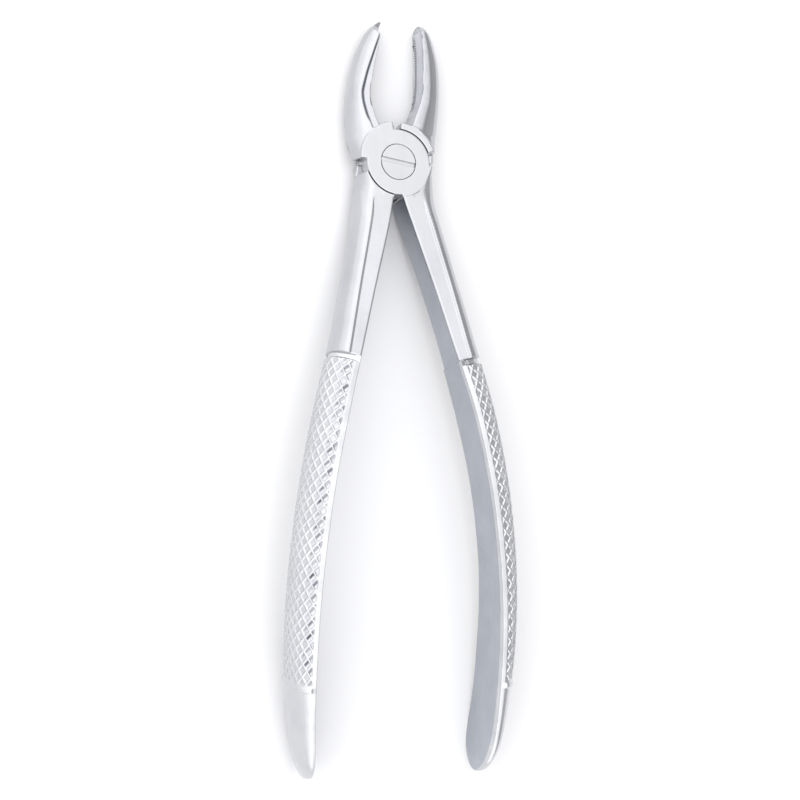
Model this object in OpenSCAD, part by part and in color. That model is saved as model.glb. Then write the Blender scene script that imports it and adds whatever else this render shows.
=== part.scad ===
// Dental extraction forceps, English pattern, for upper molars.
// Two forged halves cross at a lap joint and turn on one slotted screw.
// +Z is the pivot axis, +Y runs to the beaks, and the origin is the centre of
// the joint's back face. The halves are drawn partly open.

/* [Joint] */
// Thickness of the joint, front face to back face
joint_t = 8.2; // [7.6:0.1:9]
// Radius of each half's lapped disc
disc_r = 7.55; // [7.2:0.05:7.8]
// Gap between the two lapped faces
lap_gap = 0.10; // [0.06:0.02:0.2]
// Gap around a disc, to the other half's shoulder
arc_gap = 0.25; // [0.2:0.05:0.4]

/* [Screw] */
// Diameter of the flush screw head
head_d = 8.2; // [7.6:0.1:9]
// Height of the screw head
head_h = 1.9; // [1.4:0.1:2.2]
// Diameter of the smooth shank that the front half turns on
shank_d = 5.4; // [5:0.1:5.8]
// Diameter of the threaded tail, riveted flush in the back half
tail_d = 4.6; // [4:0.1:4.8]
// Radial running clearance of the front half on the screw
run_gap = 0.05; // [0.03:0.01:0.08]
// Width of the screwdriver slot
slot_w = 0.95; // [0.6:0.05:1.1]
// Depth of the screwdriver slot
slot_depth = 0.55; // [0.4:0.05:1.2]
// Angle of the slot, from the X axis
slot_angle = -8; // [-90:1:90]

/* [Handles] */
// Distance from the pivot to the ends of the handles
handle_reach = 136.9; // [133:0.1:142]
// Half of the widest space between the handles
handle_spread = 21.3; // [20.3:0.1:22.5]
// Height of the sideways bow of the handles
handle_bow = 6.4; // [5:0.1:7.5]
// Width of a handle near its end
handle_w = 15.7; // [14:0.1:17]
// Width of the shank below the joint
shank_w = 8.9; // [8.4:0.1:10]
// Thickness of a handle at its middle
handle_t = 5.85; // [5.2:0.05:6.4]
// Depth of the neck groove between shank and grip
neck_depth = 0.55; // [0.3:0.05:0.7]

/* [Beaks] */
// Distance from the pivot to the pointed tip of the front beak
beak_reach = 33.7; // [33.5:0.1:35]
// Width of a beak, across its serrated face
beak_w = 6.4; // [5.6:0.1:7]
// Depth of the hollow along the inner face
beak_hollow = 0.7; // [0.4:0.1:0.9]
// Height of the beaks' middle over the middle of the joint
beak_lift = 0.6; // [0:0.1:0.7]

/* [Hidden] */
$fn = 96;

mid_z = joint_t / 2;
lap_z = lap_gap / 2;
swing_r = disc_r + arc_gap;
past = 1;                       // how far a cutter runs past a face

// Handle stations: distance down from the pivot, inner face from the centre
// line, middle height, width and thickness.
function handle_stations() = let (s = handle_spread, b = handle_bow, w = handle_w, t = handle_t) [
    [0.2, 0.4,      0,       joint_t,       8.2],
    [4,   0.4,      0,       joint_t + 0.1, 8.8],
    [9,   1.3,      0,       joint_t + 0.3, 8.6],
    [16,  3.05,     1.5,     shank_w - 0.1, 7.9],
    [30,  7.0,      3.8,     shank_w,       7.05],
    [43,  10.5,     5.4,     shank_w + 0.7, 6.75],
    [58,  s - 6.7,  b,       w - 3.6,       t + 0.55],
    [73,  s - 3.45, b - 0.1, w - 3.0,       t + 0.25],
    [88,  s - 1.35, b - 1.1, w - 2.5,       t],
    [100, s - 0.35, 3.65,    w - 1.5,       t - 0.4],
    [112, s - 0.05, 1.4,     w - 0.5,       t - 0.95],
    [125, s - 0.4,  -1.6,    w - 0.1,       t - 1.95],
    [handle_reach, s - 1.8, -5.0, w,        t - 3.0]
];

// Beak stations: distance up from the pivot, inner face and back from the
// centre line, and width. The front half's beak ends in a cusp.
root_w = joint_t - 0.2;
cusp_beak = [
    [-0.4, 2.0,  9.8,   root_w],
    [4,    2.45, 10.9,  root_w],
    [8,    4.05, 11.35, root_w],
    [11,   5.35, 11.55, root_w - 0.4],
    [15,   6.2,  11.35, beak_w + 0.6],
    [20,   5.7,  10.6,  beak_w],
    [25,   4.7,  9.3,   beak_w],
    [28.6, 3.9,  7.85,  beak_w - 0.1],
    [29.7, 3.65, 7.35,  beak_w - 0.3],
    [31,   3.3,  6.55,  beak_w * 0.75],
    [32.4, 2.95, 5.3,   beak_w * 0.45],
    [beak_reach, 2.75, 3.6, beak_w * 0.1]
];
round_beak = [
    [1.5,  1.85, 9.9,   root_w],
    [4,    2.1,  10.0,  root_w],
    [8,    3.3,  10.5,  root_w],
    [11,   4.3,  10.8,  root_w - 0.4],
    [15,   5.65, 11.1,  beak_w + 0.6],
    [20,   6.2,  11.25, beak_w],
    [25,   6.3,  10.9,  beak_w],
    [29,   6.2,  9.9,   beak_w - 0.1],
    [31.2, 5.95, 9.05,  beak_w - 0.4],
    [32.4, 5.8,  8.35,  beak_w * 0.78],
    [33.1, 5.75, 7.85,  beak_w * 0.56],
    [beak_reach - 0.2, 5.75, 7.5, beak_w * 0.25]
];

// Round boss that is milled flat on both sides, its fuller brow beside the beak
// and the flat corner where it runs into the handle.
boss_r = 8.15;
brow_r = 8.4;
brow_at = [-0.6, 0.85];
boss_corner = [[1, -6.5], [1, -7.9], [1.9, -10.4], [4.2, -10.4], [5.4, -8.6], [6, -5.5]];

// The shoulders of the front half, as angles about the pivot: the beak's and
// the handle's on the front side, and the same two on the far side. The back
// half has the same ones, turned over, so these set how far the halves swing.
own_beak = [98, 178];
own_arm = [-84, -2];
far_beak = [94.5, 160];
far_arm = [-83, -19.5];
shoulder_r = 13;

// Smooth curve through the stations: row values at distance v (Hermite form).
function row_slope(s, i) = let (a = max(i - 1, 0), b = min(i + 1, len(s) - 1))
    (s[b] - s[a]) / (s[b][0] - s[a][0]);
function span_of(s, v, i = 0) = i >= len(s) - 2 || v <= s[i + 1][0] ? i : span_of(s, v, i + 1);
function row_at(s, v) = let (
    i = span_of(s, v), d = s[i + 1][0] - s[i][0], u = (v - s[i][0]) / d, u2 = u * u, u3 = u2 * u)
    (2 * u3 - 3 * u2 + 1) * s[i] + (u3 - 2 * u2 + u) * d * row_slope(s, i)
    + (3 * u2 - 2 * u3) * s[i + 1] + (u3 - u2) * d * row_slope(s, i + 1);

// D section, from the flat inner face out: [outwards, across] pairs in mm.
// side is how much of the thickness stays full width before the back rounds over.
function d_section(w, t, side, hollow, n = 16) = concat(
    [for (i = [0 : n]) let (a = -90 + 180 * i / n)
        [t * (side + (1 - side) * cos(a)), w / 2 * sin(a)]],
    [[0, w / 2], [hollow, w / 4], [hollow * 1.25, 0], [hollow, -w / 4], [0, -w / 2]]);

// Closed skin over rings of equal length.
module skin(rings) {
    n = len(rings[0]);
    m = len(rings);
    first = [for (j = [1 : n - 2]) [0, j, j + 1]];
    last = [for (j = [1 : n - 2]) [n * (m - 1), n * (m - 1) + j + 1, n * (m - 1) + j]];
    sides = [for (i = [0 : m - 2], j = [0 : n - 1]) let (
        a = i * n + j, b = i * n + (j + 1) % n)
        each [[a, a + n, b + n], [a, b + n, b]]];
    polyhedron([for (r = rings) each r], concat(first, sides, last));
}

// How much of its full size a handle keeps at distance v: a round end.
end_len = 9;
function end_round(v) = v < handle_reach - end_len ? 1
    : sqrt(max(0.02, 1 - pow((v - handle_reach + end_len) / end_len, 2)));

// Neck groove at the top of the grip, and the raised band that closes it.
neck_at = 47.3;
neck_len = 1.1;
band_at = 116.2;
band_h = 0.3;
edge_step = 0.12;
function relief(v) = (abs(v - neck_at) < neck_len / 2 ? -neck_depth : 0)
    + (abs(v - band_at) < 0.5 ? band_h : 0);
function around(at, len) = [for (k = [-1, 1])
    each [at + k * len / 2 - edge_step, at + k * len / 2 + edge_step]];

// One handle, running down from the joint on the +X side.
module handle() {
    s = handle_stations();
    steps = concat([for (v = [s[0][0] : 3 : neck_at - 2]) v], around(neck_at, neck_len),
        [for (v = [neck_at + 3 : 4 : band_at - 2]) v], around(band_at, 1),
        [for (v = [band_at + 3 : 3 : handle_reach - end_len]) v],
        [for (a = [10 : 10 : 80]) handle_reach - end_len * (1 - sin(a))], [handle_reach]);
    skin([for (v = steps) let (
        r = row_at(s, v), slope = row_at(s, v + 0.5) - row_at(s, v - 0.5),
        out = [1, slope[1]] / norm([1, slope[1]]), up = [1, slope[2]] / norm([1, slope[2]]),
        e = end_round(v), w = (r[3] + 2 * relief(v)) * e,
        t = (r[4] + relief(v)) * (0.35 + 0.65 * e), side = v < neck_at ? 0.45 : 0.16)
        [for (p = d_section(w, t, side, 0))
            [r[1] + out[0] * p[0], -v + out[1] * p[0] + up[1] * p[1], mid_z + r[2] + up[0] * p[1]]]]);
}

// One beak, running up from the joint on the -X side.
module beak(s) {
    tip = len(s) - 4;
    steps = concat([for (v = [s[0][0] : 2 : s[tip][0]]) v],
        [for (k = [0 : 4]) s[tip][0] + 0.6 + (s[tip + 3][0] - s[tip][0] - 0.6) * k / 4]);
    skin([for (v = steps) let (
        r = row_at(s, v), lift = beak_lift * min(1, max(0, (v - 8) / 10)),
        hollow = beak_hollow * min(1, max(0, (v - 11) / 5)) * min(1, r[3] / beak_w))
        [for (p = d_section(max(r[3], 0.4), max(r[2] - r[1], 0.5), 0.3, hollow))
            [-r[1] - p[0], v, mid_z + lift + p[1]]]]);
}

// Everything about the pivot from angle a to angle b, out to the shoulders.
module wedge(a, b, z0, z1) {
    far = 3 * shoulder_r;
    between = (a + b) / 2;
    translate([0, 0, z0]) linear_extrude(z1 - z0) intersection() {
        circle(shoulder_r);
        polygon(concat([[0, 0]], [for (t = [a, between, b]) far * [cos(t), sin(t)]]));
    }
}

// What the front half leaves free: on its own side what isn't disc or
// shoulder, and on the far side the place of the other disc too.
module room() {
    own_z = [mid_z - lap_z, joint_t + 3];
    far_z = [-3, mid_z + lap_z];
    difference() {
        union() {
            wedge(own_beak[1], 360 + own_arm[0], own_z[0], own_z[1]);
            wedge(own_arm[1], own_beak[0], own_z[0], own_z[1]);
        }
        cylinder(r = disc_r, h = joint_t);
    }
    wedge(far_beak[1], 360 + far_arm[0], far_z[0], far_z[1]);
    wedge(far_arm[1], far_beak[0], far_z[0], far_z[1]);
    translate([0, 0, far_z[0]]) cylinder(r = swing_r, h = far_z[1] - far_z[0]);
}

// The flat boss of the joint, with its brow and the corner at the handle.
module boss() {
    cylinder(r = boss_r, h = joint_t);
    translate(brow_at) cylinder(r = brow_r, h = joint_t);
    linear_extrude(joint_t) polygon(boss_corner);
}

// Turns the front half's joint over, into the back half's place.
module turned_over() {
    translate([0, 0, joint_t]) rotate([0, 180, 0]) children();
}

module front_half() {
    color("silver") difference() {
        union() {
            boss();
            beak(cusp_beak);
            handle();
        }
        room();
        translate([0, 0, -past]) cylinder(d = shank_d + 2 * run_gap, h = joint_t + 2 * past);
        translate([0, 0, joint_t - head_h - run_gap])
            cylinder(d = head_d + 2 * run_gap, h = head_h + run_gap + past);
    }
}

module back_half() {
    color("lightsteelblue") difference() {
        union() {
            turned_over() boss();
            mirror([1, 0, 0]) beak(round_beak);
            mirror([1, 0, 0]) handle();
        }
        turned_over() room();
        translate([0, 0, -past]) cylinder(d = tail_d, h = joint_t + 2 * past);
    }
}

module pivot_screw() {
    color("gainsboro") difference() {
        union() {
            cylinder(d = tail_d, h = joint_t - past);
            translate([0, 0, mid_z - lap_z]) cylinder(d = shank_d, h = mid_z - past);
            translate([0, 0, joint_t - head_h]) cylinder(d = head_d, h = head_h);
        }
        rotate([0, 0, slot_angle]) translate([-head_d, -slot_w / 2, joint_t - slot_depth])
            cube([2 * head_d, slot_w, slot_depth + past]);
    }
}

front_half();
back_half();
pivot_screw();
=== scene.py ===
import math

import bpy
import numpy as np
from mathutils import Matrix, Vector


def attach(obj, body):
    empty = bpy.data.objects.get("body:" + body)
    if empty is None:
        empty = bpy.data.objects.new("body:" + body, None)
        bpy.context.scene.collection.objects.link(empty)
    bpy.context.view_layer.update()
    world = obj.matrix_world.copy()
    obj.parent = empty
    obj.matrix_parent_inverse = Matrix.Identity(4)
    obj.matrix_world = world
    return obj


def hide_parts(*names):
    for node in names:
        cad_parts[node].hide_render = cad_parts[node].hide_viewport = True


# Dental extraction forceps: two polished steel halves on one slotted screw.
# Shapes are worked out in millimetres, in the row frame, and stored in metres.
# The smooth forgings are signed distance fields that are turned into meshes;
# the knurled grips and the serrated faces are grids with real relief.

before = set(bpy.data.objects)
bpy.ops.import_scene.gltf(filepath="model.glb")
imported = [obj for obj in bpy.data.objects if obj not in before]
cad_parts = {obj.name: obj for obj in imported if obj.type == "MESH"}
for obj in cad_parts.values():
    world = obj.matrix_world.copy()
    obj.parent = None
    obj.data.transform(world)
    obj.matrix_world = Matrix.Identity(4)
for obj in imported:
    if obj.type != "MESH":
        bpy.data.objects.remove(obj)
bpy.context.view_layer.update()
MM = 0.001

# ---------------------------------------------------------------- dimensions
# The joint: its back face is at z = 0, and the two discs meet near its middle.
JOINT_T = 8.2
MID_Z = JOINT_T / 2
LAP_Z = 0.05                    # half the gap between the discs
DISC_R = 7.6                    # each half's own disc
SWING_R = 7.78                  # the pocket in which the other half's disc turns
# The flat land round the screw is two discs in one, cut off straight on the arm's
# outer side: ARM_EDGE is the cut's direction and its distance from the pivot.
BOSS_R, BROW_R = 8.15, 8.4
BROW_AT = (-0.6, 0.85)
ARM_EDGE = (0.948, -0.316, 7.62)
CORNER_DROP = 0.06              # the crotch's corner lies this far under the land
BOSS_CORNER = [(1, -6.5), (1, -7.9), (1.9, -10.4), (3.4, -10.4), (4, -6.5)]
# The shoulders: their reach, and the angles in degrees that each limb fills beside
# its own disc and beside the other half's.
SHOULDER_R = 13.0
OWN_BEAK, OWN_ARM = (98, 178), (-84, -2)
FAR_BEAK, FAR_ARM = (94.5, 160), (-83, -19.5)

# The screw, from its flush head down to its riveted tail.
HEAD_D, HEAD_H = 8.2, 1.9
SHANK_D, TAIL_D = 5.4, 4.6
RUN_GAP = 0.05
SLOT_W, SLOT_DEPTH, SLOT_ANGLE = 0.95, 0.55, -8

# Places down the handle: its end, the groove of the neck, the raised band and the
# start of the rounded end.
HANDLE_REACH = 136.9
NECK_AT, NECK_LEN, NECK_DEPTH = 47.3, 1.1, 0.6
BAND_AT, BAND_H = 116.2, 0.3
END_LEN = 9.0

# Distance down from the pivot, inner face, middle height, width, thickness.
HANDLE = [
    (0.2, 0.4, 0, 8.2, 8.2), (4, 0.4, 0, 8.2, 8.8), (9, 1.3, 0, 8.25, 8.6),
    (16, 3.05, 1.5, 8.8, 7.9), (30, 7.0, 3.8, 8.9, 7.05), (43, 10.5, 5.4, 9.6, 6.75),
    (58, 14.6, 6.4, 12.1, 6.4), (73, 17.85, 6.3, 12.7, 6.1), (88, 19.95, 5.3, 13.2, 5.85),
    (100, 20.95, 3.65, 14.2, 5.45), (112, 21.25, 1.4, 15.2, 4.9),
    (125, 20.9, -1.6, 15.6, 3.9), (136.9, 19.5, -5.0, 15.7, 2.85),
]
# Distance up from the pivot, inner face, back, width.
CUSP_BEAK = [
    (-0.4, 2.0, 9.8, 8.0), (4, 2.45, 10.9, 8.0), (8, 4.05, 11.35, 8.0), (11, 5.35, 11.55, 7.6),
    (15, 6.2, 11.35, 7.0), (20, 5.7, 10.6, 6.4), (25, 4.7, 9.3, 6.4), (28.6, 3.9, 7.85, 6.3),
    (29.7, 3.65, 7.35, 6.2), (31.0, 3.3, 6.55, 5.7), (32.4, 2.95, 5.3, 4.4), (33.7, 2.75, 3.6, 1.4),
]
# The scallops that leave the cusp: their centre, radius, and how fast they narrow
# towards the back of the beak.
SCALLOP_Y, SCALLOP_W, SCALLOP_R, SCALLOP_SLANT = 32.8, 3.2, 2.95, 0.6
ROUND_BEAK = [
    (1.5, 1.85, 9.9, 8.0), (4, 2.1, 10.0, 8.0), (8, 3.3, 10.5, 8.0), (11, 4.3, 10.8, 7.6),
    (15, 5.65, 11.1, 7.0), (20, 6.2, 11.25, 6.4), (25, 6.3, 10.9, 6.4), (29, 6.2, 9.9, 6.3),
    (31.2, 5.95, 9.05, 6.0), (32.4, 5.8, 8.35, 5.0), (33.1, 5.75, 7.85, 3.6),
    (33.5, 5.75, 7.5, 1.6),
]
BEAK_W = 6.4                    # usual width of a beak's working end
BEAK_LIFT = 0.6
BEAK_HOLLOW = 0.875
# The flat lips beside the inner faces: their width, and the step up to the crest.
SHANK_LIP, SHANK_STEP = 4.6, 0.25
LIP_TAPER, LIP_FLARE = 0.05, 0.42
BEAK_LIP, LIP_GROWTH = 0.45, {"cusp": 1.7, "round": 0.7}
BEAK_STEP = {"cusp": 0.65, "round": 0.0}
NECK_THINNING = 0.15            # how much thinner the shank gets above the neck
# The serrated inner faces: where they start and end, their seat, teeth and streaks.
FACE_FROM, FACE_TO = 12.35, {"cusp": 31.2, "round": 32.6}
SEAT = 0.3
TOOTH_PITCH, TOOTH_DEPTH = 0.6, 0.25
STREAK_DEPTH = 0.05


# ------------------------------------------------------------ smooth stations
def spline(rows, step=0.05):
    """A dense table through the stations, with the same smooth curve as the CAD."""
    s = np.array(rows, float)
    last = len(s) - 1
    slope = np.array([(s[min(i + 1, last)] - s[max(i - 1, 0)])
                      / (s[min(i + 1, last)][0] - s[max(i - 1, 0)][0]) for i in range(len(s))])
    v = np.arange(s[0, 0], s[-1, 0] + step, step)
    i = np.clip(np.searchsorted(s[:, 0], v) - 1, 0, last - 1)
    d = (s[i + 1, 0] - s[i, 0])[:, None]
    u = ((v - s[i, 0])[:, None] / d)
    out = ((2 * u**3 - 3 * u**2 + 1) * s[i] + (u**3 - 2 * u**2 + u) * d * slope[i]
           + (3 * u**2 - 2 * u**3) * s[i + 1] + (u**3 - u**2) * d * slope[i + 1])
    out[:, 0] = v
    return out


def look(table, v):
    return [np.interp(v, table[:, 0], table[:, k]) for k in range(1, table.shape[1])]


# The handle's table also holds the slopes of its inner face and middle height.
handle_table = spline(HANDLE)
slopes = [np.gradient(handle_table[:, k], handle_table[:, 0]) for k in (1, 2)]
handle_table = np.column_stack([handle_table, *slopes])
beak_tables = {"cusp": spline(CUSP_BEAK), "round": spline(ROUND_BEAK)}


# ------------------------------------------------------------ distance fields
def smax(a, b, k):
    h = np.maximum(k - np.abs(a - b), 0) / k
    return np.maximum(a, b) + h * h * k * 0.25


def smin(a, b, k):
    return -smax(-a, -b, k)


def ramp(v, a, b):
    t = np.clip((v - a) / (b - a), 0, 1)
    return t * t * (3 - 2 * t)


def d_section(u, w, thick, wide, lip, drop):
    """A forged section: a flat lip along each edge, then a small step up to the crest
    of the round body. Where there is no step, the crest runs on over the lip. u runs
    outwards from the inner face, w across."""
    b, mid = wide / 2, np.minimum(lip + 0.2, thick - 0.5)
    a = np.maximum(thick - mid, 0.3)
    out = np.maximum(u - mid, 0)
    k1 = np.sqrt((out / a) ** 2 + (w / b) ** 2)
    k2 = np.sqrt((out / a**2) ** 2 + (w / b**2) ** 2)
    body = smax(k1 * (k1 - 1) / np.maximum(k2, 1e-6), lip * ramp(drop, 0, 0.05) - u, 0.3)
    plate = np.maximum(np.abs(w) - (b - drop), u - mid)
    return smin(body, plate, 0.02 + 0.33 * ramp(drop, 0.02, 0.2))


def shank_field(x, y, z):
    """The handle on the +X side, from the joint down to the neck."""
    v = -y
    for _ in range(4):
        inner, mid, wide, thick, slope, rise = look(handle_table, v)
        ox, oz = 1 / np.sqrt(1 + slope**2), 1 / np.sqrt(1 + rise**2)
        height = z - MID_Z - mid
        u = (x - inner) * ox + (y + v) * slope * ox
        w = height * oz + (y + v) * rise * oz
        v = slope * ox * u + rise * oz * w - y
    lip = SHANK_LIP - LIP_TAPER * np.clip(v - 12, 0, 40) + LIP_FLARE * np.maximum(7.3 - v, 0)
    thick = thick - NECK_THINNING * ramp(v, 36, 45)
    d = d_section(u, w, thick, wide, lip, SHANK_STEP * ramp(v, 8, 18))
    d = smax(d, -u, 0.5)
    d = smax(d, v - (NECK_AT - NECK_LEN / 2), 0.04 + 0.3 * ramp(u, 0.4, 1.2))
    return np.maximum(d, 0.2 - v)


def beak_field(x, y, z, kind):
    """The beak on the -X side."""
    inner, outer, wide = look(beak_tables[kind], y)
    u = -x - inner
    thick = np.maximum(outer - inner, 0.5)
    wide = np.maximum(wide, 0.4)
    w = z - MID_Z - beak_lift(y)
    lip = lip_of(y, inner, thick, kind)
    drop = beak_drop(wide, kind)
    d = d_section(u, w, thick, wide, lip, drop)
    if kind == "cusp":
        bite = SCALLOP_R - SCALLOP_SLANT * np.maximum(u, 0)
        bite = bite - np.hypot(y - SCALLOP_Y, np.abs(w) - SCALLOP_W)
        d = smax(d, bite, 0.2)
    seat = SEAT * ramp(y, FACE_FROM - 0.2, FACE_FROM + 0.4)
    seat *= 1 - ramp(y, FACE_TO[kind] - 0.6, FACE_TO[kind] + 0.3)
    seat *= 1 - ramp(np.abs(w) / (wide / 2 - drop), 0.93, 0.98)
    hollow = hollow_depth(y, w, wide - 2 * drop) + seat
    d = smax(d, hollow - u, 0.15)
    start, end = beak_tables[kind][0, 0], beak_tables[kind][-1, 0]
    return np.maximum(np.maximum(d, start - y), y - end)


def beak_lift(y):
    """How far the middle of a beak lies above the middle of the joint."""
    return BEAK_LIFT * np.clip((y - 8) / 10, 0, 1)


def lip_of(y, inner, thick, kind):
    """Width of the flat lip along the inner edge of a beak."""
    lip = BEAK_LIP + LIP_GROWTH[kind] * np.clip((30 - y) / 14, 0, 1)
    lip = np.maximum(lip, np.sqrt(np.maximum(BOSS_R**2 - y**2, 0)) - inner)
    return np.minimum(lip, thick - 0.6)


def beak_drop(wide, kind):
    """Step from the crest of a beak's body down to its lip."""
    return BEAK_STEP[kind] * np.clip(wide / BEAK_W, 0.05, 1)


def hollow_depth(y, w, wide):
    """How far the inner face is sunk below its edges."""
    cup = np.maximum(1 - (2 * w / wide) ** 2, 0)
    return BEAK_HOLLOW * ramp(y, 10.5, 16) * np.minimum(wide / BEAK_W, 1) * cup


def wedge(x, y, a, b):
    """Inside between the angles a and b about the pivot, less than half a turn apart."""
    m, g = math.radians((a + b) / 2), math.radians((b - a) / 2)
    along = x * math.cos(m) + y * math.sin(m)
    across = np.abs(y * math.cos(m) - x * math.sin(m))
    return across * math.cos(g) - along * math.sin(g)


def convex(x, y, points):
    """Inside a convex outline, given anticlockwise or clockwise."""
    p = np.array(points, float)
    centre = p.mean(axis=0)
    d = None
    for a, b in zip(p, np.roll(p, -1, axis=0)):
        n = np.array([b[1] - a[1], a[0] - b[0]]) / np.hypot(*(b - a))
        n = n if n @ (centre - a) < 0 else -n
        side = (x - a[0]) * n[0] + (y - a[1]) * n[1]
        d = side if d is None else np.maximum(d, side)
    return d


def half_field(x, y, z, kind):
    """The front half's field, or the back half's: its limbs are mirrored and its
    joint is turned over, so both are worked out on the front half's side."""
    side = 1 if kind == "cusp" else -1
    x = x * side
    zj = z if side > 0 else JOINT_T - z
    r = np.sqrt(x**2 + y**2)
    limbs = np.minimum(beak_field(x, y, z, kind), shank_field(x, y, z))
    brow = np.hypot(x - BROW_AT[0], y - BROW_AT[1]) - BROW_R
    edge = x * ARM_EDGE[0] + y * ARM_EDGE[1] - ARM_EDGE[2]
    land = np.maximum(np.minimum(r - BOSS_R, brow), edge)
    slab = np.abs(zj - MID_Z) - MID_Z
    corner = smax(convex(x, y, BOSS_CORNER), slab + CORNER_DROP, 0.2)
    boss = np.minimum(smax(land, slab, 0.2), corner)
    d = smin(limbs, boss, 0.3 - 0.29 * ramp(-y, 1, 5))
    d = np.maximum(d, -np.maximum(land + 0.1, -slab))
    # Room for the other half, on this half's own side and on the far side.
    own = np.minimum(wedge(x, y, OWN_BEAK[1], 360 + OWN_ARM[0]),
                     wedge(x, y, OWN_ARM[1], OWN_BEAK[0]))
    own = np.maximum(np.maximum(own, DISC_R - r), r - SHOULDER_R)
    own = np.maximum(own, MID_Z - LAP_Z - zj)
    far = np.minimum(wedge(x, y, FAR_BEAK[1], 360 + FAR_ARM[0]),
                     wedge(x, y, FAR_ARM[1], FAR_BEAK[0]))
    far = np.minimum(np.maximum(far, r - SHOULDER_R), r - SWING_R)
    far = np.maximum(far, zj - MID_Z - LAP_Z)
    d = smax(d, -own, 0.3)
    d = smax(d, -far, 0.3)
    # Bores: the front half takes the screw's head and shank, the back half its tail.
    if kind == "cusp":
        d = smax(d, SHANK_D / 2 + RUN_GAP - r, 0.1)
        head = np.maximum(r - HEAD_D / 2 - RUN_GAP, JOINT_T - HEAD_H - RUN_GAP - z)
        d = smax(d, -head, 0.14)
    else:
        d = smax(d, TAIL_D / 2 - r, 0.1)
    return d


def screw_field(x, y, z):
    r = np.sqrt(x**2 + y**2)
    head = smax(r - HEAD_D / 2, np.maximum(z - JOINT_T, JOINT_T - HEAD_H - z), 0.14)
    shank = np.maximum(r - SHANK_D / 2, np.maximum(z - JOINT_T + 1, MID_Z - LAP_Z - z))
    tail = smax(r - TAIL_D / 2, np.maximum(z - JOINT_T + 1, -z), 0.1)
    d = np.minimum(np.minimum(head, shank), tail)
    a = math.radians(SLOT_ANGLE)
    across = np.abs(y * math.cos(a) - x * math.sin(a))
    cut = np.maximum(across - SLOT_W / 2, JOINT_T - SLOT_DEPTH - z)
    return smax(d, -cut, 0.12)


# ------------------------------------------------------------ field to mesh
def gradient(field, p, eps):
    """Slope of a field at points, from differences eps to each side."""
    g = np.empty_like(p)
    for k in range(3):
        a, b = p.copy(), p.copy()
        a[:, k] += eps
        b[:, k] -= eps
        g[:, k] = (field(*a.T) - field(*b.T)) / (2 * eps)
    return g


def mesh_of(field, lo, hi, step):
    """Surface nets: one vertex in each cell that the surface crosses, then moved
    onto the surface. Returns points, quads and normals."""
    # A coarse grid finds the surface, and only cells near it are worked out finely.
    coarse = 4
    lo, hi = np.array(lo, float), np.array(hi, float)
    n = np.ceil((hi - lo) / (coarse * step)).astype(int) + 1
    axes = [lo[k] + (np.arange(n[k]) + 0.5) * coarse * step - 0.5 * step for k in range(3)]
    gx, gy, gz = np.meshgrid(*axes, indexing="ij")
    rough = field(gx.ravel(), gy.ravel(), gz.ravel()).reshape(n)
    near = np.abs(rough) < 2.6 * coarse * step
    full = np.where(rough < 0, -10.0, 10.0)
    for k in range(3):
        full = np.repeat(full, coarse, axis=k)
        near = np.repeat(near, coarse, axis=k)
    cell = np.argwhere(near)
    p = lo + cell * step
    full[near] = field(*p.T)

    # Each vertex starts at the mean of the points where its cell's edges cross.
    inside = full < 0
    corners = [(i, j, k) for i in (0, 1) for j in (0, 1) for k in (0, 1)]
    size = np.array(full.shape) - 1

    def part(arr, c):
        return arr[c[0]:c[0] + size[0], c[1]:c[1] + size[1], c[2]:c[2] + size[2]]

    count = sum(part(inside, c).astype(np.int8) for c in corners)
    mixed = (count > 0) & (count < 8)
    index = np.full(mixed.shape, -1, np.int64)
    index[mixed] = np.arange(mixed.sum())
    values = {c: part(full, c)[mixed] for c in corners}
    total = np.zeros((mixed.sum(), 3))
    hits = np.zeros(mixed.sum())
    for a in corners:
        for k in range(3):
            if a[k]:
                continue
            b = tuple(1 if m == k else a[m] for m in range(3))
            fa, fb = values[a], values[b]
            cross = (fa < 0) != (fb < 0)
            t = np.where(cross, fa / np.where(cross, fa - fb, 1), 0)
            point = np.array(a) + t[:, None] * (np.array(b) - np.array(a))
            total += point * cross[:, None]
            hits += cross
    points = lo + (np.argwhere(mixed) + total / hits[:, None]) * step

    # Each grid edge that crosses the surface gives one quad, from the cells round it.
    quads = []
    for k in range(3):
        i, j = [m for m in range(3) if m != k]
        first = [slice(1, -1)] * 3
        second = [slice(1, -1)] * 3
        first[k], second[k] = slice(0, -1), slice(1, None)
        a, b = inside[tuple(first)], inside[tuple(second)]
        where = np.argwhere(a != b)
        start = a[a != b]
        base = where + 1
        base[:, k] -= 1
        ring = []
        for di, dj in ((0, 0), (1, 0), (1, 1), (0, 1)):
            c = base.copy()
            c[:, i] -= di
            c[:, j] -= dj
            ring.append(index[c[:, 0], c[:, 1], c[:, 2]])
        q = np.column_stack(ring)
        flip = start if k == 1 else ~start
        q[flip] = q[flip][:, ::-1]
        quads.append(q)
    quads = np.concatenate(quads)
    quads = quads[(quads >= 0).all(axis=1)]

    # Newton steps bring the vertices onto the surface.
    for _ in range(4):
        g = gradient(field, points, 0.02)
        f = field(*points.T)
        move = (f / np.maximum((g**2).sum(axis=1), 0.2))[:, None] * g
        far = np.linalg.norm(move, axis=1, keepdims=True)
        points -= move * np.minimum(1, 0.4 * step / np.maximum(far, 1e-9))
    g = gradient(field, points, 0.04)
    normals = g / np.maximum(np.linalg.norm(g, axis=1, keepdims=True), 1e-9)
    return points, quads, normals


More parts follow.
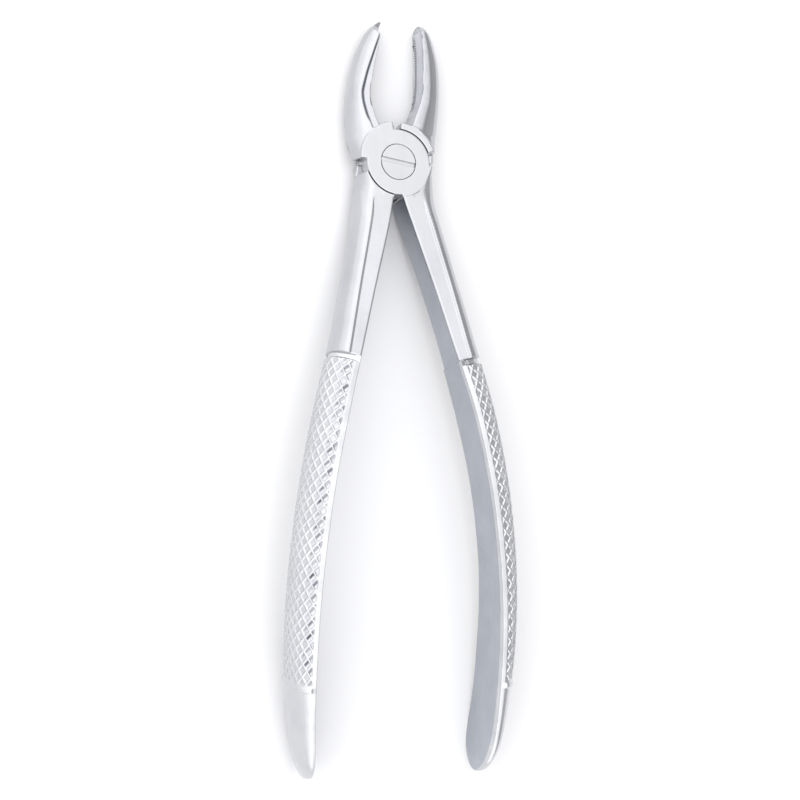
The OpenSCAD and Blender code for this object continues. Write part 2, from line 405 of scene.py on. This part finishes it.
def make_piece(name, points, quads, normals=None):
    """An object from points in millimetres, quads and normals at the points."""
    mesh = bpy.data.meshes.new(name)
    mesh.vertices.add(len(points))
    mesh.vertices.foreach_set("co", (points * MM).ravel())
    mesh.loops.add(quads.size)
    mesh.loops.foreach_set("vertex_index", quads.ravel().astype(np.int32))
    mesh.polygons.add(len(quads))
    mesh.polygons.foreach_set("loop_start", np.arange(0, quads.size, 4, dtype=np.int32))
    mesh.update(calc_edges=True)
    mesh.validate()
    mesh.polygons.foreach_set("use_smooth", np.ones(len(mesh.polygons), bool))
    if normals is not None:
        mesh.normals_split_custom_set_from_vertices(normals.tolist())
    piece = bpy.data.objects.new(name, mesh)
    bpy.context.scene.collection.objects.link(piece)
    return piece


def set_marks(piece, **marks):
    """Store a value at each point, for the materials to read."""
    for name, values in marks.items():
        mark = piece.data.attributes.new(name, "FLOAT", "POINT")
        mark.data.foreach_set("value", np.ascontiguousarray(values, np.float32).ravel())


# ------------------------------------------------------------ knurled grip
KNURL_PITCH = 1.75
KNURL_DEPTH = 0.24
RIB_FLAT, RIB_FOOT = 0.11, 0.33 # half the width of a rib's top, and of its foot
KNURL_TOP, KNURL_END = NECK_AT + 0.8, BAND_AT - 0.8
KNURL_STEEP, KNURL_FLAT = math.radians(52), math.radians(47)
STRIP = 0.2                     # smooth strip between the flat side and the knurling
STRIP_SIDE = 0.16               # straight side of the grip, as a part of its thickness
CORNER_R = 0.16
GRIP_SINK = 0.01                # keeps the grip's inner face just under the forging's
ARC_COLUMNS, FACE_COLUMNS, CORNER_COLUMNS = 140, 10, 5
GRIP_STEP = 0.15
POCKET_SHADE_LEVELS = np.random.default_rng(7).uniform(0, 1, 97) ** 1.5
POCKET_SHADE_STRENGTH = {1: 0.15, -1: 1.0}     # how strong the painted shade in the pockets is on the front and back grips


def grip_ring(v):
    """One ring of the grip at distance v: [outwards, across] points, from the inner
    face's upper corner round the back and along the inner face."""
    inner, mid, wide, thick, slope, rise = (float(c) for c in look(handle_table, v))
    reach = (v - HANDLE_REACH + END_LEN) / END_LEN
    keep = math.sqrt(max(0.0025, 1 - reach**2)) if reach > 0 else 1.0
    below_neck = NECK_AT + NECK_LEN / 2
    relief = BAND_H * (1 - ramp(abs(v - BAND_AT), 0.3, 0.75))
    relief -= NECK_DEPTH * (1 - ramp(v, below_neck - 0.1, below_neck + 0.35))
    wide *= keep
    thick *= 0.3 + 0.7 * keep
    b, straight = wide / 2, STRIP_SIDE * thick
    r = min(CORNER_R, 0.6 * straight)
    turn = np.linspace(0, math.pi / 2, CORNER_COLUMNS)
    top = np.column_stack([r - r * np.cos(turn), b - r + r * np.sin(turn)])
    arc = np.linspace(0, math.pi, ARC_COLUMNS)
    back = np.column_stack([straight + (thick - straight) * np.sin(arc), b * np.cos(arc)])
    across = np.linspace(-(b - r), b - r, FACE_COLUMNS)[1:-1]
    face = np.column_stack([np.zeros(len(across)), across])
    ring = np.concatenate([top, back, top[::-1] * (1, -1), face]) + (GRIP_SINK, 0)
    return ring, relief * ramp(ring[:, 0], 0.5, 1.7), (inner, mid, slope, rise)


def pocket(distance):
    """1 in the floor between two ribs and 0 on a rib."""
    part = (distance / KNURL_PITCH) % 1
    return ramp((0.5 - np.abs(part - 0.5)) * KNURL_PITCH, RIB_FLAT, RIB_FOOT)


def pocket_shade_spots(flat, steep, edge):
    """Painted shade: dark spots of random strength in the knurl's pockets beside the smooth strip.
    """
    part = (flat / KNURL_PITCH) % 1
    pick = (np.floor(flat / KNURL_PITCH) * 7 + np.floor(steep / KNURL_PITCH) * 13).astype(int)
    beside = ramp(edge, STRIP, STRIP + 0.4) * (1 - ramp(edge, STRIP + 1.8, STRIP + 3))
    return (POCKET_SHADE_LEVELS[pick % len(POCKET_SHADE_LEVELS)] * ramp(part, 0.12, 0.25) * (1 - ramp(part, 0.42, 0.55))
            * pocket(steep) * beside)


def grip_grid():
    """Rings of the grip on the +X side: points, the recess and the painted shade."""
    bottom = HANDLE_REACH - END_LEN
    rows = np.concatenate([
        [NECK_AT - 0.9, NECK_AT - NECK_LEN / 2 - 0.15],
        np.arange(NECK_AT - 0.35, KNURL_TOP - 0.2, 0.12),
        np.arange(KNURL_TOP - 0.2, KNURL_END + 0.2, GRIP_STEP),
        np.arange(KNURL_END + 0.2, BAND_AT + 1, 0.1),
        np.arange(BAND_AT + 1, bottom, 0.5),
        bottom + END_LEN * np.sin(np.linspace(0, math.pi / 2, 40)) * 0.9999])
    points, recess, grime = [], [], []
    for v in rows:
        ring, relief, (inner, mid, slope, rise) = grip_ring(v)
        if v < NECK_AT - 0.8:
            ring = (ring - ring.mean(axis=0)) * 0.9 + ring.mean(axis=0)
        step = np.roll(ring, -1, axis=0) - np.roll(ring, 1, axis=0)
        inwards = np.column_stack([step[:, 1], -step[:, 0]])
        inwards /= np.maximum(np.linalg.norm(inwards, axis=1, keepdims=True), 1e-9)
        arc = slice(CORNER_COLUMNS, CORNER_COLUMNS + ARC_COLUMNS)
        gaps = np.linalg.norm(np.diff(ring[arc], axis=0), axis=1)
        length = np.concatenate([[0], np.cumsum(gaps)])
        edge = np.minimum(length, length[-1] - length)
        s = length[-1] / 2 - length
        flat = v * math.cos(KNURL_FLAT) + s * math.sin(KNURL_FLAT)
        steep = v * math.cos(KNURL_STEEP) - s * math.sin(KNURL_STEEP)
        rolled = ramp(v, KNURL_TOP, KNURL_TOP + 0.3) * (1 - ramp(v, KNURL_END - 0.3, KNURL_END))
        cut, spot_shade = np.zeros(len(ring)), np.zeros(len(ring))
        cut[arc] = np.minimum(pocket(flat), pocket(steep)) * ramp(edge, STRIP, STRIP + 0.3) * rolled
        spot_shade[arc] = pocket_shade_spots(flat, steep, edge) * rolled
        ring = ring + inwards * (cut * KNURL_DEPTH - relief)[:, None]
        ox, oz = 1 / math.sqrt(1 + slope**2), 1 / math.sqrt(1 + rise**2)
        points.append(np.column_stack([
            inner + ox * ring[:, 0],
            -v + slope * ox * ring[:, 0] + rise * oz * ring[:, 1],
            MID_Z + mid + oz * ring[:, 1]]))
        recess.append(cut)
        grime.append(spot_shade)
    return np.array(points), np.array(recess), np.array(grime)


def grid_normals(p):
    """Normals of a grid of rings that close on themselves."""
    along = np.empty_like(p)
    along[1:-1] = p[2:] - p[:-2]
    along[0], along[-1] = p[1] - p[0], p[-1] - p[-2]
    around = np.roll(p, -1, axis=1) - np.roll(p, 1, axis=1)
    n = np.cross(around, along)
    return n / np.maximum(np.linalg.norm(n, axis=2, keepdims=True), 1e-12)


def ring_quads(rings, count):
    """Quads between rings that close on themselves, and a ladder over each end."""
    i, j = np.meshgrid(np.arange(rings - 1), np.arange(count), indexing="ij")
    a, b = i * count + j, i * count + (j + 1) % count
    walls = np.stack([a, b, b + count, a + count], axis=-1).reshape(-1, 4)
    k = np.arange(count // 2 - 1)
    ladder = np.column_stack([k, k + 1, count - 2 - k, count - 1 - k])
    return np.concatenate([walls, ladder[:, ::-1], ladder + (rings - 1) * count])


def grip_piece(name, side):
    p, recess, grime = grip_grid()
    rings, count = p.shape[:2]
    normals = -grid_normals(p)
    quads = ring_quads(rings, count)[:, ::-1]
    p = p.reshape(-1, 3)
    normals = normals.reshape(-1, 3)
    if side < 0:
        p, normals, quads = p * (-1, 1, 1), normals * (-1, 1, 1), quads[:, ::-1]
    piece = make_piece(name, p, quads, normals)
    # The knurl's pockets get spots of painted shade, much stronger on the back grip than on the
    # front one.
    set_marks(piece, recess=recess, grime=grime * POCKET_SHADE_STRENGTH[side])
    column = quads.min(axis=1) % count
    face_start = 2 * CORNER_COLUMNS + ARC_COLUMNS - 1
    return piece, column >= face_start


# ------------------------------------------------------------ serrated faces
def serrated_piece(name, kind, side):
    """The inner face of a beak, sunk in its seat: long grinding streaks in the hollow
    and fine teeth across both rims."""
    y = np.arange(FACE_FROM, FACE_TO[kind], TOOTH_PITCH / 8)
    t = np.linspace(-0.94, 0.94, 41)
    inner, _, wide = (c[:, None] for c in look(beak_tables[kind], y))
    wide = wide - 2 * beak_drop(wide, kind)
    lift = beak_lift(y)[:, None]
    w = t[None, :] * wide / 2
    if kind == "cusp":
        free = SCALLOP_W - np.sqrt(np.maximum(SCALLOP_R**2 - (y[:, None] - SCALLOP_Y)**2, 0)) - 0.12
        w = np.where(y[:, None] > SCALLOP_Y - SCALLOP_R, np.clip(w, -free, free), w)
    tooth = np.abs(((y / TOOTH_PITCH) % 1) - 0.5) * 2
    fade = ramp(y, FACE_FROM + 1, FACE_FROM + 3)
    fade *= 1 - ramp(y, FACE_TO[kind] - 1.2, FACE_TO[kind] - 0.2)
    rim = ramp(np.abs(t), 0.6, 0.85)[None, :]
    notch = tooth[:, None] * fade[:, None] * rim * TOOTH_DEPTH
    streak = STREAK_DEPTH * (np.sin(11 * t) * np.sin(23 * t + 1) * np.cos(37 * t))[None, :]
    floor_u = hollow_depth(y[:, None], w, wide)
    under = floor_u + SEAT + 0.35
    face_u = floor_u + notch + streak * fade[:, None] * (1 - rim)
    ring_u = np.concatenate([face_u, under[:, ::-1]], axis=1)
    ring_w = np.concatenate([w, w[:, ::-1]], axis=1)
    p = np.stack([side * -(inner + ring_u), np.repeat(y[:, None], ring_u.shape[1], axis=1),
                  MID_Z + lift + ring_w], axis=-1)
    quads = ring_quads(*p.shape[:2])
    if side < 0:
        quads = quads[:, ::-1]
    piece = make_piece(name, p.reshape(-1, 3), quads)
    # Painted shade: the notches of the teeth and the grooves of the streaks are darkened, and made
    # a little rougher.
    shade = notch / TOOTH_DEPTH * 0.9 + np.clip(streak / STREAK_DEPTH, 0, 1) * 0.35
    set_marks(piece, grime=np.concatenate([shade, np.zeros_like(shade)], axis=1))
    return piece


# ------------------------------------------------------------ materials
def steel(name, shade, rough, grain, scratch, marks=()):
    """Procedural steel. shade and rough are (least, most), grain stretches the fine
    scratches along the piece, and scratch is how deep they show. Each of the marks
    is an attribute of the piece, its tint and the roughness that it adds."""
    material = bpy.data.materials.new(name)
    material.use_nodes = True
    nodes, links = material.node_tree.nodes, material.node_tree.links
    shader = nodes["Principled BSDF"]
    shader.inputs["Metallic"].default_value = 1.0
    place = nodes.new("ShaderNodeTexCoord")

    def noise(scale, detail, stretch=(1, 1, 1)):
        mapping = nodes.new("ShaderNodeMapping")
        mapping.inputs["Scale"].default_value = stretch
        links.new(place.outputs["Object"], mapping.inputs["Vector"])
        texture = nodes.new("ShaderNodeTexNoise")
        texture.inputs["Scale"].default_value = scale
        texture.inputs["Detail"].default_value = detail
        links.new(mapping.outputs["Vector"], texture.inputs["Vector"])
        return texture.outputs["Fac"]

    def spread(value, low, high):
        node = nodes.new("ShaderNodeMapRange")
        node.inputs["From Min"].default_value = 0.3
        node.inputs["From Max"].default_value = 0.7
        node.inputs["To Min"].default_value = low
        node.inputs["To Max"].default_value = high
        links.new(value, node.inputs["Value"])
        return node.outputs["Result"]

    broad = noise(140, 3)
    ramp_node = nodes.new("ShaderNodeValToRGB")
    ramp_node.color_ramp.elements[0].position = 0.3
    ramp_node.color_ramp.elements[1].position = 0.7
    ramp_node.color_ramp.elements[0].color = (*shade[0], 1)
    ramp_node.color_ramp.elements[1].color = (*shade[1], 1)
    links.new(broad, ramp_node.inputs["Fac"])
    colour = ramp_node.outputs["Color"]
    fine = noise(900, 4, grain)
    roughness = spread(fine, *rough)
    for attribute, tint, rougher in marks:
        mark = nodes.new("ShaderNodeAttribute")
        mark.attribute_name = attribute
        mix = nodes.new("ShaderNodeMix")
        mix.data_type = "RGBA"
        links.new(mark.outputs["Fac"], mix.inputs["Factor"])
        links.new(colour, mix.inputs["A"])
        mix.inputs["B"].default_value = (*tint, 1)
        colour = mix.outputs["Result"]
        add = nodes.new("ShaderNodeMath")
        add.operation = "MULTIPLY_ADD"
        add.inputs[1].default_value = rougher
        links.new(mark.outputs["Fac"], add.inputs[0])
        links.new(roughness, add.inputs[2])
        roughness = add.outputs["Value"]
    links.new(colour, shader.inputs["Base Color"])
    links.new(roughness, shader.inputs["Roughness"])
    bump = nodes.new("ShaderNodeBump")
    bump.inputs["Strength"].default_value = scratch
    bump.inputs["Distance"].default_value = 0.00005
    links.new(fine, bump.inputs["Height"])
    links.new(bump.outputs["Normal"], shader.inputs["Normal"])
    return material


# The near-black tint below is painted shade. A point attribute lays it in the crease beside each
# beak's lip, in spots in the knurl's pockets, and in the teeth and streaks of the serrated faces.
BRIGHT, COOL, POLISHED_RIB = (0.53, 0.535, 0.55), (0.48, 0.487, 0.507), (0.64, 0.645, 0.655)
GROUND, SHADED_POCKET, PAINTED_SHADE_TINT = (0.54, 0.544, 0.555), (0.545, 0.55, 0.565), (0.07, 0.08, 0.10)
polished = steel("polished steel", (COOL, BRIGHT), (0.09, 0.17), (1, 0.25, 1), 0.10,
                 [("ground", GROUND, 0.2), ("grime", PAINTED_SHADE_TINT, 0.15)])
# The knurl's pockets are rougher, as unpolished steel, and tinted a little darker as painted shade.
knurled = steel("knurled steel", (BRIGHT, POLISHED_RIB), (0.14, 0.26), (1, 1, 1), 0.12,
                [("recess", SHADED_POCKET, 0.12), ("grime", PAINTED_SHADE_TINT, 0.1)])
ground = steel("ground flat steel", ((0.52, 0.524, 0.535), (0.56, 0.564, 0.575)),
               (0.30, 0.40), (1, 1, 1), 0.2)
satin = steel("satin inner steel", ((0.40, 0.42, 0.46), (0.45, 0.47, 0.51)),
              (0.30, 0.42), (6, 0.3, 1), 0.3)
serrated = steel("serrated steel", ((0.62, 0.63, 0.66), (0.72, 0.73, 0.76)),
                 (0.25, 0.45), (1, 3, 1), 0.5, [("grime", PAINTED_SHADE_TINT, 0.1)])


def give(piece, *materials):
    for material in materials:
        piece.data.materials.append(material)


# ------------------------------------------------------------ the pieces
HALVES = [("front", "cusp", 1), ("back", "round", -1)]
STEP = 0.2


def forging_marks(points, normals, kind, side):
    """Where a forging is ground instead of polished, and where painted shade darkens the crease
    beside a beak's lip.
    """
    x, y, z = points.T
    v, r = -y, np.hypot(x, y)
    # Ground: the flats of the land and of the arm, which fade out down the arm.
    _, mid, wide = look(handle_table, np.maximum(v, 0.2))[:3]
    flat = ramp(np.abs(normals[:, 2]), 0.9, 0.985)
    flat *= ramp(np.abs(z - MID_Z - mid), wide / 2 - 0.5, wide / 2 - 0.25)
    flat *= np.where(y > -3, 1 - ramp(r, BROW_R + 0.3, BROW_R + 0.9), 1 - ramp(v, 9, 26))
    lap = 1 - ramp(r, SWING_R + 0.1, SWING_R + 0.4)
    # Painted shade: the foot of the step between a beak's lip and its crest is darkened and made
    # rougher, strongly on the cusp beak and faintly on the round one.
    inner, outer, wide = look(beak_tables[kind], np.maximum(y, 1.5))
    beyond = -x * side - inner - lip_of(y, inner, outer - inner, kind)
    spread = 0.15 + 0.25 * np.clip((30 - y) / 18, 0, 1)
    groove = 1 - ramp(np.abs(beyond), spread, spread + 0.2)
    groove *= ramp(y, 8.6, 10) * (1 - ramp(y, 27, 31))
    groove *= ramp(np.abs(z - MID_Z - BEAK_LIFT), wide / 2 - 1.5, wide / 2 - 1)
    return np.maximum(flat, lap), groove * (0.75 if kind == "cusp" else 0.1)


# One forging, grip and serrated face for each half. lo and hi bound the forging.
for body, kind, side in HALVES:
    lo, hi = (-13, -NECK_AT - 1, -0.6), (20, 34, 18)
    if side < 0:
        lo, hi = (-hi[0], lo[1], lo[2]), (-lo[0], hi[1], hi[2])
    field = lambda x, y, z, kind=kind: half_field(x, y, z, kind)
    points, quads, normals = mesh_of(field, lo, hi, STEP)
    forging = make_piece(body + "_forging", points, quads, normals)
    give(forging, polished, satin)
    ground_mark, grime_mark = forging_marks(points, normals, kind, side)
    set_marks(forging, ground=ground_mark, grime=grime_mark)
    # The inner face of the shank is satin, from below the joint to the neck.
    centre, n = points[quads].mean(axis=1), normals[quads].mean(axis=1)
    v = -centre[:, 1]
    inner = look(handle_table, v)[0]
    inside = (v > 7.8) & (-side * n[:, 0] > 0.92) & (np.abs(side * centre[:, 0] - inner) < 0.25)
    forging.data.polygons.foreach_set("material_index", inside.astype(np.int32))
    grip, grip_face = grip_piece(body + "_grip", side)
    give(grip, knurled, satin)
    grip.data.polygons.foreach_set("material_index", grip_face.astype(np.int32))
    face = serrated_piece(body + "_serrated_face", kind, side)
    give(face, serrated)
    for piece in (forging, grip, face):
        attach(piece, body)
    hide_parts(body + "_half")

half_head = HEAD_D / 2 + 0.3
points, quads, normals = mesh_of(
    screw_field, (-half_head, -half_head, -0.3), (half_head, half_head, JOINT_T + 0.3), 0.14)
screw = make_piece("slotted_screw", points, quads, normals)
give(screw, ground)
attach(screw, "back")
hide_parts("pivot_screw")

# ------------------------------------------------------------ floor, light, camera
# The forceps lie on the joint and on their handle ends, so the floor leans a little.
def lowest_slope(y0, z0):
    """Slope of the plane through a point of the joint that only touches the handles."""
    steepest = 0.0
    for piece in [o for o in bpy.data.objects if o.type == "MESH"]:
        co = np.empty(len(piece.data.vertices) * 3)
        piece.data.vertices.foreach_get("co", co)
        y, z = co[1::3] / MM, co[2::3] / MM
        far = y < -NECK_AT
        if far.any():
            steepest = max(steepest, ((z[far] - z0) / (y[far] - y0)).max())
    return steepest


REST = (BOSS_R, 0.0)
tilt = math.atan(lowest_slope(*REST))
bpy.ops.mesh.primitive_plane_add(size=6)
floor = bpy.context.object
floor.name = "floor"
floor.rotation_euler = (tilt, 0, 0)
floor.location = (0, REST[0] * MM, REST[1] * MM)
paint = bpy.data.materials.new("pale floor")
paint.use_nodes = True
paint.node_tree.nodes["Principled BSDF"].inputs["Base Color"].default_value = (0.63, 0.63, 0.635, 1)
paint.node_tree.nodes["Principled BSDF"].inputs["Roughness"].default_value = 0.7
floor.data.materials.append(paint)

# Plain colours, so that white paper looks white, as in a catalogue picture.
bpy.context.scene.view_settings.view_transform = "Standard"

# A white studio tent. It is a little darker low down and on the left, and much
# darker on the right, so that the rounded steel gets the streaks of a polished piece.
world = bpy.data.worlds.new("studio")
bpy.context.scene.world = world
world.use_nodes = True
wn, wl = world.node_tree.nodes, world.node_tree.links
coords = wn.new("ShaderNodeTexCoord")
split = wn.new("ShaderNodeSeparateXYZ")
wl.new(coords.outputs["Generated"], split.inputs["Vector"])


def tent_ramp(axis, stops):
    """Grey levels along one axis of the tent, from (place, level) pairs."""
    place = wn.new("ShaderNodeMapRange")
    place.inputs["From Min"].default_value = -1
    wl.new(split.outputs[axis], place.inputs["Value"])
    node = wn.new("ShaderNodeValToRGB")
    node.color_ramp.interpolation = "EASE"
    points = node.color_ramp.elements
    while len(points) < len(stops):
        points.new(0.5)
    for point, (spot, level) in zip(points, stops):
        point.position = (spot + 1) / 2
        point.color = (level, level, level * 1.01, 1)
    wl.new(place.outputs["Result"], node.inputs["Fac"])
    return node.outputs["Color"]


across = tent_ramp("X", [(-1, 0.72), (-0.62, 0.86), (-0.25, 1.0), (0.25, 0.97), (0.5, 0.62),
                         (0.66, 0.28), (0.82, 0.34), (1, 0.4)])
low = tent_ramp("Z", [(0, 0.9), (0.35, 0.96), (1, 1)])
blend = wn.new("ShaderNodeMix")
blend.data_type = "RGBA"
blend.blend_type = "MULTIPLY"
blend.inputs["Factor"].default_value = 1
wl.new(across, blend.inputs["A"])
wl.new(low, blend.inputs["B"])
wl.new(blend.outputs["Result"], wn["Background"].inputs["Color"])
wn["Background"].inputs["Strength"].default_value = 1.9


def softbox(name, place, power, size):
    """A soft light on the floor. The steel shows only the tent, so it can't see it."""
    data = bpy.data.lights.new(name, "AREA")
    data.energy = power
    data.size = size
    light = bpy.data.objects.new(name, data)
    light.location = place
    light.rotation_euler = (-Vector(place)).to_track_quat("-Z", "Y").to_euler()
    light.visible_glossy = False
    bpy.context.scene.collection.objects.link(light)


softbox("top light", (-0.3, 0.1, 0.9), 4.2, 1.2)
softbox("left light", (-0.75, -0.15, 0.6), 1.5, 0.8)

# The camera stands a little to the left of the joint and looks at the middle of
# the forceps. RIGHT sets its roll.
CAMERA_AT = (-121.9, -99.7, 340.7)
AIM = (1.15, -54.1, MID_Z)
RIGHT = (0.9397, -0.0107, 0.3419)
LENS = 72.0
camera_data = bpy.data.cameras.new("camera")
camera = bpy.data.objects.new("camera", camera_data)
bpy.context.scene.collection.objects.link(camera)
back = (Vector(CAMERA_AT) - Vector(AIM)).normalized()
up = back.cross(Vector(RIGHT)).normalized()
right = up.cross(back)
camera.matrix_world = (Matrix.Translation(Vector(CAMERA_AT) * MM)
                       @ Matrix((right, up, back)).transposed().to_4x4())
camera_data.sensor_width = 36
camera_data.lens = LENS
camera_data.clip_start = 0.01
bpy.context.scene.camera = camera
